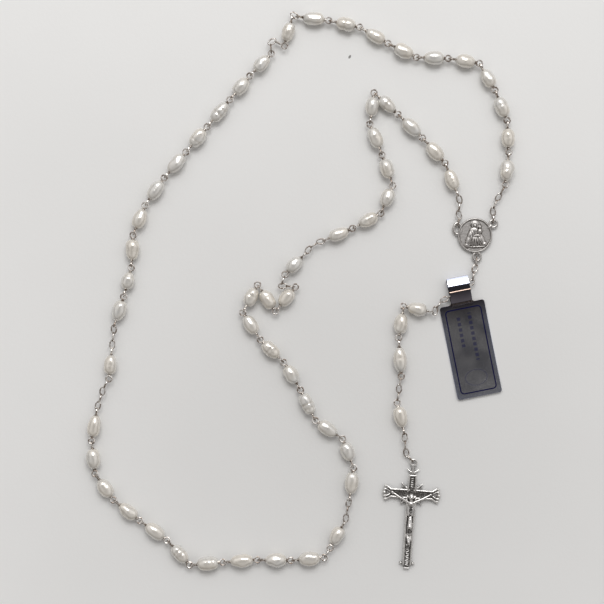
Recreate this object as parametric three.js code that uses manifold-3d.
// A rosary lying on a table: baroque pearl beads on wire pins with an eye at each end,
// short chains of oval links, a centre medal, a crucifix and a folded foil hang tag.
// Millimetres, +Z up. The strands are walked bead by bead from the medal's lugs.
import * as THREE from 'three';
import { mergeVertices } from 'three/addons/utils/BufferGeometryUtils.js';
import Module from 'manifold-3d';

const wasm = await Module();
wasm.setup();

// Wire parts.
const EYE_RADIUS = 0.95;
const EYE_WIRE = 0.22;
const LINK_HALF = 1.4;
const LINK_SIDE = 0.8;
const LINK_WIRE = 0.2;
const PIN_RADIUS = 0.25;
const NECK = 0.45;
const PLAY = 0.15;
const LINK_PLAY = 0.05;
const BITE = 0.08;

// Pearls.
const PEARL_RADIUS = 2.15;
const PEARL_SIDES = 7;
const BEAD_HEIGHT = PEARL_RADIUS;

// Centre medal.
const MEDAL_RADIUS = 5.55;
const MEDAL_THICK = 1.7;
const MEDAL_RIM = 0.6;
const MEDAL_FIELD = 0.35;
const LUG_HEIGHT = 1.1;
const LUG_THICK = 0.6;
const RIGHT_LUG = [5.9, 3.7];
const LEFT_LUG = [-5.6, 2.7];
const LOW_LUG = [0.6, -6.9];

// Crucifix.
const CROSS_ARM = 9.3;
const CROSS_ABOVE = 7.4;
const CROSS_BELOW = 24.0;
const BEAM_HALF = 1.5;
const CROSS_THICK = 1.5;
const CROSS_EYE = 10.1;
const CROSS_EYE_HEIGHT = 1.2;
const CROSS_LEAN = -4;

// Foil hang tag.
const TAG_WIDTH = 14.6;
const TAG_BODY = 30.4;
const TAG_NECK = 6.8;
const TAG_NECK_LENGTH = 8.6;
const TAG_THICK = 0.5;
const TAG_PLY = 0.35;
const TAG_LOOP = 7.2;
const TAG_CLOSE = 9.8;
const TAG_GAP = 2.7;
const TAG_LEAN = 11.25;
const TAG_TOP = [-5.9, -13.4];
const BAIL_HEIGHT = 1.7;

// How each strand lies: [heading of the bead in degrees, length of its pearl in mm].
// Chains are the headings of their links.
const RIGHT_CHAIN = [92, 94, 68, 56, 62];
const DECADE_1 = [
  [84, 6.6], [93, 6.2], [112, 6.6], [120, 6.0], [171, 6.2],
  [178, 6.3], [154, 6.2], [150, 6.6], [168, 6.2], [173, 6.8],
];
const CHAIN_1A = [145];
const FATHER_1 = [255, 6.2];
const CHAIN_1B = [155, 215, 275];
const DECADE_2 = [
  [226, 6.0], [230, 6.0], [230, 7.4], [230, 6.6], [230, 7.0],
  [235, 6.8], [248, 6.4], [267, 6.6], [255, 5.6], [252, 6.6],
];
const CHAIN_2A = [274, 262, 270];
const FATHER_2 = [264, 6.2];
const CHAIN_2B = [240, 262, 250, 256];
const DECADE_3_RIGHT = [[260, 7.0], [276, 6.6], [305, 6.4], [322, 6.8], [324, 6.9]];

const LEFT_CHAIN = [80, 104, 84, 106];
const DECADE_5 = [
  [112, 6.7], [132, 6.8], [136, 7.0], [138, 6.4], [262, 6.2],
  [292, 6.8], [289, 6.4], [247, 5.8], [208, 6.4], [203, 6.6],
];
const CHAIN_4B = [190, 215, 235];
const FATHER_4 = [226, 6.0];
const CHAIN_4A = [250, 0, 355];
const DECADE_4 = [
  [231, 6.2], [124, 6.4], [242, 6.2], [303, 6.4], [316, 6.6],
  [301, 6.4], [296, 7.0], [326, 6.6], [291, 6.0], [262, 7.0],
];
const CHAIN_3B = [258, 260, 262];
const FATHER_3 = [241, 6.0];
const CHAIN_3A = [238];
const DECADE_3_LEFT = [[185, 6.8], [179, 6.8], [184, 7.2]];
const CLOSING_LENGTHS = [6.8, 6.8];

const LONG_CHAIN = [262, 248, 260, 213, 213, 213, 213, 202, 230, 262];
const PENDANT_1 = [168, 6.0];
const PENDANT_2 = [261, 6.4];
const PENDANT_3 = [274, 8.0];
const CHAIN_5A = [258, 268, 262];
const PENDANT_4 = [283, 6.6];
const CHAIN_5B = [270, 276, 280, 312];

const radians = THREE.MathUtils.degToRad;

// Closed solid from a three.js geometry.
function solid(geometry) {
  geometry.deleteAttribute('normal');
  geometry.deleteAttribute('uv');
  const merged = mergeVertices(geometry, 1e-5);
  const index = merged.index.array;
  const kept = [];
  for (let i = 0; i < index.length; i += 3) {
    const [a, b, c] = [index[i], index[i + 1], index[i + 2]];
    if (a !== b && b !== c && a !== c) kept.push(a, b, c);
  }
  const mesh = new wasm.Mesh({
    numProp: 3,
    vertProperties: new Float32Array(merged.attributes.position.array),
    triVerts: new Uint32Array(kept),
  });
  return new wasm.Manifold(mesh);
}

function geometryOf(manifold) {
  const mesh = manifold.getMesh();
  const geometry = new THREE.BufferGeometry();
  geometry.setAttribute('position', new THREE.BufferAttribute(new Float32Array(mesh.vertProperties), 3));
  geometry.setIndex(new THREE.BufferAttribute(new Uint32Array(mesh.triVerts), 1));
  geometry.computeVertexNormals();
  return geometry;
}

// Joins solids that overlap, and drops the tiny closed pockets where two wires cross.
function union(solids) {
  const parts = solids.reduce((sum, piece) => sum.add(piece)).decompose();
  return parts.reduce((best, part) => (part.volume() > best.volume() ? part : best));
}

// A closed ring of square wire in the XY plane, eight straight pieces round.
function ring(radius, wire, stretch) {
  const points = [0, 1, 2, 3, 4].map((k) => {
    const angle = Math.PI / 4 + (k * Math.PI) / 2;
    return new THREE.Vector2(radius + 1.2 * wire * Math.cos(angle), 1.2 * wire * Math.sin(angle));
  });
  const geometry = new THREE.LatheGeometry(points, 8, Math.PI / 8);
  geometry.rotateX(Math.PI / 2);
  const position = geometry.attributes.position;
  for (let i = 0; i < position.count; i += 1) {
    position.setX(i, position.getX(i) + Math.sign(position.getX(i)) * stretch);
  }
  return geometry;
}

// One wire ring of a strand: an eye or a chain link, flat or upright, in its place.
function ringSolid(item) {
  const isEye = item.kind === 'eye';
  const geometry = isEye
    ? ring(EYE_RADIUS, EYE_WIRE, 0)
    : ring(LINK_SIDE, LINK_WIRE, LINK_HALF - LINK_SIDE);
  if (item.upright) geometry.rotateX(Math.PI / 2);
  geometry.rotateY(-item.tilt);
  geometry.rotateZ(radians(item.heading));
  geometry.translate(item.x, item.y, item.z);
  return solid(geometry);
}

// A pearl with the pin's two stubs, along the bead's heading.
function pearlSolid(item) {
  const half = item.length / 2;
  const end = half + NECK + EYE_WIRE;
  const profile = [
    [0, -end], [PIN_RADIUS, -end], [PIN_RADIUS, -half], [0.76 * PEARL_RADIUS, -0.66 * half],
    [PEARL_RADIUS, 0], [0.76 * PEARL_RADIUS, 0.66 * half], [PIN_RADIUS, half], [PIN_RADIUS, end],
    [0, end],
  ];
  const points = profile.map(([r, along]) => new THREE.Vector2(r, along));
  const geometry = new THREE.LatheGeometry(points, PEARL_SIDES);
  geometry.rotateZ(-Math.PI / 2);
  geometry.rotateZ(radians(item.heading));
  geometry.translate(item.x, item.y, item.z);
  return solid(geometry);
}

const direction = (heading) => [Math.cos(radians(heading)), Math.sin(radians(heading))];

// Places rings one after another. Each is turned a quarter turn from the one before it,
// and the strand bends at the centre of the flat ring of each pair.
function placeRing(last, kind, heading, free) {
  const side = kind === 'eye' ? EYE_RADIUS : LINK_SIDE;
  const wire = kind === 'eye' ? EYE_WIRE : LINK_WIRE;
  const extra = kind === 'eye' ? 0 : LINK_HALF - LINK_SIDE;
  const play = last.kind === 'link' ? LINK_PLAY : last.kind === 'lug' ? 0 : PLAY;
  const step = free ? side + play : last.side + side - last.wire - wire + BITE;
  const [lx, ly] = direction(last.heading);
  const [nx, ny] = direction(heading);
  const upright = !last.upright;
  const [mx, my] = upright ? [nx, ny] : [lx, ly];
  const from = [last.x + last.extra * lx, last.y + last.extra * ly];
  const near = [from[0] + step * mx, from[1] + step * my];
  return {
    kind, heading, upright, side, wire, extra,
    x: near[0] + extra * nx,
    y: near[1] + extra * ny,
    pivot: upright ? near : from,
    flatPivot: upright ? from : near,
    tilt: 0,
  };
}

// One bead unit: links before it, near eye, pearl, far eye, links after it.
function placeUnit(last, unit) {
  const rings = [];
  let free = !unit.tight;
  let at = last;
  const add = (kind, heading) => {
    at = placeRing(at, kind, heading, free);
    free = false;
    rings.push(at);
  };
  unit.before.forEach((heading) => add('link', heading));
  const [heading, length] = unit.bead;
  add('eye', heading);
  const [dx, dy] = direction(heading);
  const reach = EYE_RADIUS + NECK + length / 2;
  const pearl = { kind: 'pearl', heading, length, x: at.x + reach * dx, y: at.y + reach * dy };
  const upright = unit.farUpright ?? !at.upright;
  at = {
    kind: 'eye', heading, upright, side: EYE_RADIUS, wire: EYE_WIRE, extra: 0, tilt: 0,
    x: pearl.x + reach * dx, y: pearl.y + reach * dy,
  };
  if (!unit.open) rings.push(at);
  unit.after.forEach((link) => add('link', link));
  return { name: unit.name, rings, pearl, end: at };
}

// Heights: level at the pearls, sloping along the chains that lead to the flat pieces.
// Each knot is [number of the ring in its unit, height].
function setHeights(placed, knots) {
  const heightAt = (k) => {
    const next = knots.findIndex(([ring]) => ring >= k);
    if (next < 0) return BEAD_HEIGHT;
    if (next === 0) return knots[0][1];
    const [[k0, z0], [k1, z1]] = [knots[next - 1], knots[next]];
    return z0 + ((z1 - z0) * (k - k0)) / (k1 - k0);
  };
  placed.rings.forEach((item, k) => {
    item.z = heightAt(k);
    const rise = (heightAt(k + 0.5) - heightAt(Math.max(k - 0.5, 0))) / (k > 0 ? 1 : 0.5);
    item.tilt = item.kind === 'link' ? Math.atan(rise / (2 * LINK_HALF - LINK_WIRE)) : 0;
  });
  placed.pearl.z = BEAD_HEIGHT;
}

const unitOf = (name, bead, before = [], after = []) => ({ name, bead, before, after });
const numbered = (stem, first, step, beads) => beads.map((bead, k) => {
  return unitOf(`${stem}_${String(first + step * k).padStart(2, '0')}`, bead);
});

function lug(place, heading) {
  return {
    kind: 'lug', heading, upright: false, side: LINK_SIDE, wire: 0, extra: 0,
    x: place[0], y: place[1], z: LUG_HEIGHT,
  };
}

function walk(start, units) {
  let at = start;
  return units.map((unit) => {
    const placed = placeUnit(at, unit);
    at = placed.end;
    return placed;
  });
}

const rightUnits = [
  ...numbered('hail_mary', 1, 1, DECADE_1),
  unitOf('our_father_1', FATHER_1, CHAIN_1A, CHAIN_1B),
  ...numbered('hail_mary', 11, 1, DECADE_2),
  unitOf('our_father_2', FATHER_2, CHAIN_2A, CHAIN_2B),
  ...numbered('hail_mary', 21, 1, DECADE_3_RIGHT),
];
rightUnits[0].before = RIGHT_CHAIN;
const leftUnits = [
  ...numbered('hail_mary', 50, -1, DECADE_5),
  unitOf('our_father_4', FATHER_4, CHAIN_4B, CHAIN_4A),
  ...numbered('hail_mary', 40, -1, DECADE_4),
  unitOf('our_father_3', FATHER_3, CHAIN_3B, CHAIN_3A),
  ...numbered('hail_mary', 30, -1, DECADE_3_LEFT),
];
leftUnits[0].before = LEFT_CHAIN;
leftUnits[0].farUpright = true;
const rightStrand = walk(lug(RIGHT_LUG, 90), rightUnits);
const leftStrand = walk(lug(LEFT_LUG, 90), leftUnits);

// The loop closes on itself: the last two beads of the left strand make a triangle with
// the gap that is left, which gives their headings.
function closeLoop(from, to) {
  const spanOf = (length) => length + 2 * (NECK + EYE_RADIUS) + EYE_RADIUS + PLAY;
  const [ux, uy] = direction(from.heading);
  const startX = from.x + (EYE_RADIUS + PLAY) * ux;
  const startY = from.y + (EYE_RADIUS + PLAY) * uy;
  const a = spanOf(CLOSING_LENGTHS[0]);
  const b = spanOf(CLOSING_LENGTHS[1]);
  const gap = Math.hypot(to.x - startX, to.y - startY);
  const base = Math.atan2(to.y - startY, to.x - startX);
  const first = base + Math.acos((a * a + gap * gap - b * b) / (2 * a * gap));
  const elbowX = startX + a * Math.cos(first);
  const elbowY = startY + a * Math.sin(first);
  const second = Math.atan2(to.y - elbowY, to.x - elbowX);
  return [THREE.MathUtils.radToDeg(first), THREE.MathUtils.radToDeg(second)];
}

const closing = closeLoop(leftStrand.at(-1).end, rightStrand.at(-1).end);
// The last pin's far eye is left off, so that the two strands stay clear of each other.
leftStrand.push(...walk(leftStrand.at(-1).end, [
  unitOf('hail_mary_27', [closing[0], CLOSING_LENGTHS[0]]),
  { ...unitOf('hail_mary_26', [closing[1], CLOSING_LENGTHS[1]]), open: true },
]));

const pendant = walk(lug(LOW_LUG, 262), [
  unitOf('pendant_hail_mary_1', PENDANT_1, LONG_CHAIN),
  unitOf('pendant_hail_mary_2', PENDANT_2),
  { ...unitOf('pendant_hail_mary_3', PENDANT_3), tight: true },
  unitOf('pendant_our_father', PENDANT_4, CHAIN_5A, CHAIN_5B),
]);
const every = [...rightStrand, ...leftStrand, ...pendant];
every.forEach((placed) => setHeights(placed, []));
setHeights(rightStrand[0], [[0, LUG_HEIGHT], [RIGHT_CHAIN.length, BEAD_HEIGHT]]);
setHeights(leftStrand[0], [[0, LUG_HEIGHT], [LEFT_CHAIN.length, BEAD_HEIGHT]]);
setHeights(pendant[0], [
  [0, LUG_HEIGHT], [2.4, BAIL_HEIGHT], [6.6, BAIL_HEIGHT], [LONG_CHAIN.length, BEAD_HEIGHT],
]);
setHeights(pendant[3], [
  [0, BEAD_HEIGHT], [CHAIN_5A.length + 1, BEAD_HEIGHT],
  [CHAIN_5A.length + CHAIN_5B.length + 1, CROSS_EYE_HEIGHT],
]);
const crossEye = placeRing(pendant[3].end, 'eye', 270 + CROSS_LEAN, true);

// ---- build ----

// A flat plate with an outline and holes given as lists of points.
function plate(outline, holes, low, high) {
  const shape = new THREE.Shape(outline.map(([x, y]) => new THREE.Vector2(x, y)));
  shape.holes = holes.map((hole) => new THREE.Path(hole.map(([x, y]) => new THREE.Vector2(x, y))));
  const geometry = new THREE.ExtrudeGeometry(shape, { depth: high - low, bevelEnabled: false });
  geometry.translate(0, 0, low);
  return geometry;
}

function oval(cx, cy, rx, ry, sides) {
  return Array.from({ length: sides }, (_, k) => {
    const angle = (2 * Math.PI * k) / sides;
    return [cx + rx * Math.cos(angle), cy + ry * Math.sin(angle)];
  });
}

// A rounded lump: a sphere stretched to half sizes, turned about Z.
function lump(centre, half, turn = 0) {
  const geometry = new THREE.SphereGeometry(1, 8, 6);
  geometry.rotateX(Math.PI / 2);
  geometry.scale(...half);
  geometry.rotateZ(radians(turn));
  geometry.translate(...centre);
  return solid(geometry);
}

// Medal: rimmed disc with a low figure, and three flat lugs with holes.
function medalSolid() {
  const r = MEDAL_RADIUS;
  const field = MEDAL_THICK - MEDAL_FIELD;
  const profile = [
    [0, 0], [r - 0.2, 0], [r, 0.3], [r, MEDAL_THICK - 0.2], [r - 0.2, MEDAL_THICK],
    [r - MEDAL_RIM, MEDAL_THICK], [r - MEDAL_RIM - 0.2, field], [0, field],
  ];
  const disc = new THREE.LatheGeometry(profile.map(([x, y]) => new THREE.Vector2(x, y)), 28);
  disc.rotateX(Math.PI / 2);
  const low = LUG_HEIGHT - LUG_THICK / 2;
  const high = LUG_HEIGHT + LUG_THICK / 2;
  const [rx, ry] = RIGHT_LUG;
  const [lx, ly] = LEFT_LUG;
  const [bx, by] = LOW_LUG;
  const lugs = [
    plate(oval(rx, ry, 1.55, 1.55, 12), [oval(rx, ry, 0.75, 0.75, 8)], low, high),
    plate(oval(lx, ly - 0.6, 1.75, 2.4, 14), [oval(lx, ly - 0.6, 0.65, 1.3, 10)], low, high),
    plate(oval(bx, by, 1.75, 1.8, 12), [oval(bx, by, 0.7, 0.95, 8)], low, high),
  ];
  const robe = [[-2.6, -3.6], [2.6, -3.6], [1.9, -1.2], [1.2, 1.4], [-1.2, 1.4], [-2.1, -1.2]];
  return union([
    solid(disc),
    ...lugs.map(solid),
    solid(plate(robe, [], field - 0.3, field + 0.35)),
    lump([-0.2, 2.1, field], [0.95, 1.1, 0.5]),
    lump([1.2, 0.6, field], [0.75, 0.8, 0.5]),
  ]);
}

// Crucifix outline from the foot's left corner, anticlockwise, right half then left half.
function crossOutline() {
  const w = BEAM_HALF;
  const right = [
    [w, -CROSS_BELOW], [w, -CROSS_BELOW + 1.2], [2.9, -CROSS_BELOW + 1.0],
    [2.9, -CROSS_BELOW + 2.2], [w, -CROSS_BELOW + 2.6], [w, -w],
    [CROSS_ARM - 2.4, -w], [CROSS_ARM - 1.3, -2.5], [CROSS_ARM - 0.6, -1.2],
    [CROSS_ARM, 0], [CROSS_ARM - 0.6, 1.2], [CROSS_ARM - 1.3, 2.5], [CROSS_ARM - 2.4, w],
    [w, w], [w, CROSS_ABOVE - 1.6], [2.3, CROSS_ABOVE - 0.2], [0.8, CROSS_ABOVE - 0.5],
  ];
  return [...right, ...right.map(([x, y]) => [-x, y]).reverse()];
}

// A rod between two points, six sides.
function rod(from, to, r0, r1) {
  const a = new THREE.Vector3(...from);
  const b = new THREE.Vector3(...to);
  const geometry = new THREE.CylinderGeometry(r1, r0, a.distanceTo(b), 6);
  const turn = new THREE.Quaternion();
  turn.setFromUnitVectors(new THREE.Vector3(0, 1, 0), b.clone().sub(a).normalize());
  geometry.applyQuaternion(turn);
  geometry.translate((a.x + b.x) / 2, (a.y + b.y) / 2, (a.z + b.z) / 2);
  return solid(geometry);
}

// Crucifix with its figure, flat on its back, the crossing at the origin.
function crucifixSolid() {
  const top = CROSS_THICK;
  const ray = [[0, -0.5], [4.6, 0], [0, 0.5]];
  const rays = [45, 135, 225, 315].map((turn) => {
    const geometry = plate(ray, [], 0.3, top - 0.2);
    geometry.rotateZ(radians(turn));
    return solid(geometry);
  });
  const eye = ring(EYE_RADIUS, EYE_WIRE, 0);
  eye.translate(0, CROSS_EYE, CROSS_EYE_HEIGHT);
  const stemTop = CROSS_EYE - EYE_RADIUS + 0.1;
  const stem = [[-0.45, CROSS_ABOVE - 1.2], [0.45, CROSS_ABOVE - 1.2], [0.35, stemTop], [-0.35, stemTop]];
  return union([
    solid(plate(crossOutline(), [], 0, top)),
    ...rays,
    solid(eye),
    solid(plate(stem, [], CROSS_EYE_HEIGHT - 0.3, CROSS_EYE_HEIGHT + 0.3)),
    lump([0, -1.0, top + 0.7], [0.85, 1.0, 0.85]),
    lump([0, -4.6, top + 0.3], [1.25, 2.9, 0.95]),
    lump([0, -8.6, top + 0.3], [1.35, 1.6, 1.0]),
    rod([-0.9, -2.6, top + 0.3], [-6.3, 0.3, top], 0.5, 0.35),
    rod([0.9, -2.6, top + 0.3], [6.0, -0.1, top], 0.5, 0.35),
    rod([0.2, -9.4, top + 0.3], [-0.6, -13.0, top + 0.5], 0.8, 0.6),
    rod([-0.6, -12.8, top + 0.5], [-0.1, -16.6, top + 0.1], 0.6, 0.45),
  ]);
}

// Hang tag of doubled foil: a plate, and a neck folded over into a flat loop round the chain.
function tagSolid() {
  const n = TAG_NECK / 2;
  const w = TAG_WIDTH / 2;
  const neckEnd = -TAG_NECK_LENGTH;
  const end = neckEnd - TAG_BODY;
  const outline = [
    [-w + 0.8, end], [w - 0.8, end], [w, end + 0.8], [w, neckEnd - 0.8], [w - 0.8, neckEnd],
    [n + 0.5, neckEnd], [n, neckEnd + 0.5], [n, neckEnd + 1], [-n, neckEnd + 1],
    [-n, neckEnd + 0.5], [-n - 0.5, neckEnd], [-w + 0.8, neckEnd], [-w, neckEnd - 0.8],
    [-w, end + 0.8],
  ];
  const p = TAG_PLY;
  const high = p + TAG_GAP;
  const loop = [
    [TAG_CLOSE, 0], [0.7, 0], [0, 0.9], [0, high - 0.6], [0.8, high + p], [TAG_LOOP, high + p],
    [TAG_CLOSE, TAG_THICK],
  ].reverse();
  const hollow = [
    [TAG_CLOSE - 1, p], [0.9, p], [p, 1.1], [p, high - 0.8], [1, high], [TAG_LOOP - 0.2, high],
    [TAG_CLOSE - 1, p + 0.4],
  ].reverse();
  const band = plate(loop, [hollow], -n, n);
  band.rotateX(Math.PI / 2);
  band.rotateZ(-Math.PI / 2);
  return union([solid(plate(outline, [], 0, TAG_THICK)), solid(band)]);
}

const rosary = new THREE.Group();
rosary.name = 'rosary';

function addNode(name, manifold, place, turn, colour, metalness, roughness) {
  const material = new THREE.MeshStandardMaterial({ color: colour, metalness, roughness });
  material.name = name;
  const mesh = new THREE.Mesh(geometryOf(manifold), material);
  mesh.name = name;
  mesh.position.set(...place);
  mesh.rotation.z = radians(turn);
  rosary.add(mesh);
}

function addBeads(name, placed) {
  const whole = union(placed.flatMap((unit) => [pearlSolid(unit.pearl), ...unit.rings.map(ringSolid)]));
  const { x, y, z, heading } = placed[0].pearl;
  const local = whole.translate([-x, -y, -z]).rotate([0, 0, -heading]);
  addNode(name, local, [x, y, z], heading, 0xe6e2da, 0.1, 0.3);
}

[...rightStrand, ...leftStrand].forEach((placed) => addBeads(placed.name, [placed]));
addBeads('pendant_hail_mary_1', [pendant[0]]);
addBeads('pendant_hail_mary_2_3', [pendant[1], pendant[2]]);
addBeads('pendant_our_father', [pendant[3]]);

const [crossX, crossY] = direction(270 + CROSS_LEAN);
const crossPlace = [crossEye.x + CROSS_EYE * crossX, crossEye.y + CROSS_EYE * crossY, 0];
addNode('centre_medal', medalSolid(), [0, 0, 0], 0, 0xb0aea8, 0.9, 0.45);
addNode('crucifix', crucifixSolid(), crossPlace, CROSS_LEAN, 0x9a9890, 0.9, 0.35);
addNode('hang_tag', tagSolid(), [...TAG_TOP, 0], TAG_LEAN, 0x5a5d66, 1, 0.2);

// The middle of the laid-out rosary stands over the origin, its lowest point on z = 0.
rosary.updateMatrixWorld(true);
const bounds = new THREE.Box3().setFromObject(rosary, true);
const middle = bounds.getCenter(new THREE.Vector3());
rosary.children.forEach((mesh) => mesh.position.sub(new THREE.Vector3(middle.x, middle.y, bounds.min.z)));

export default rosary;
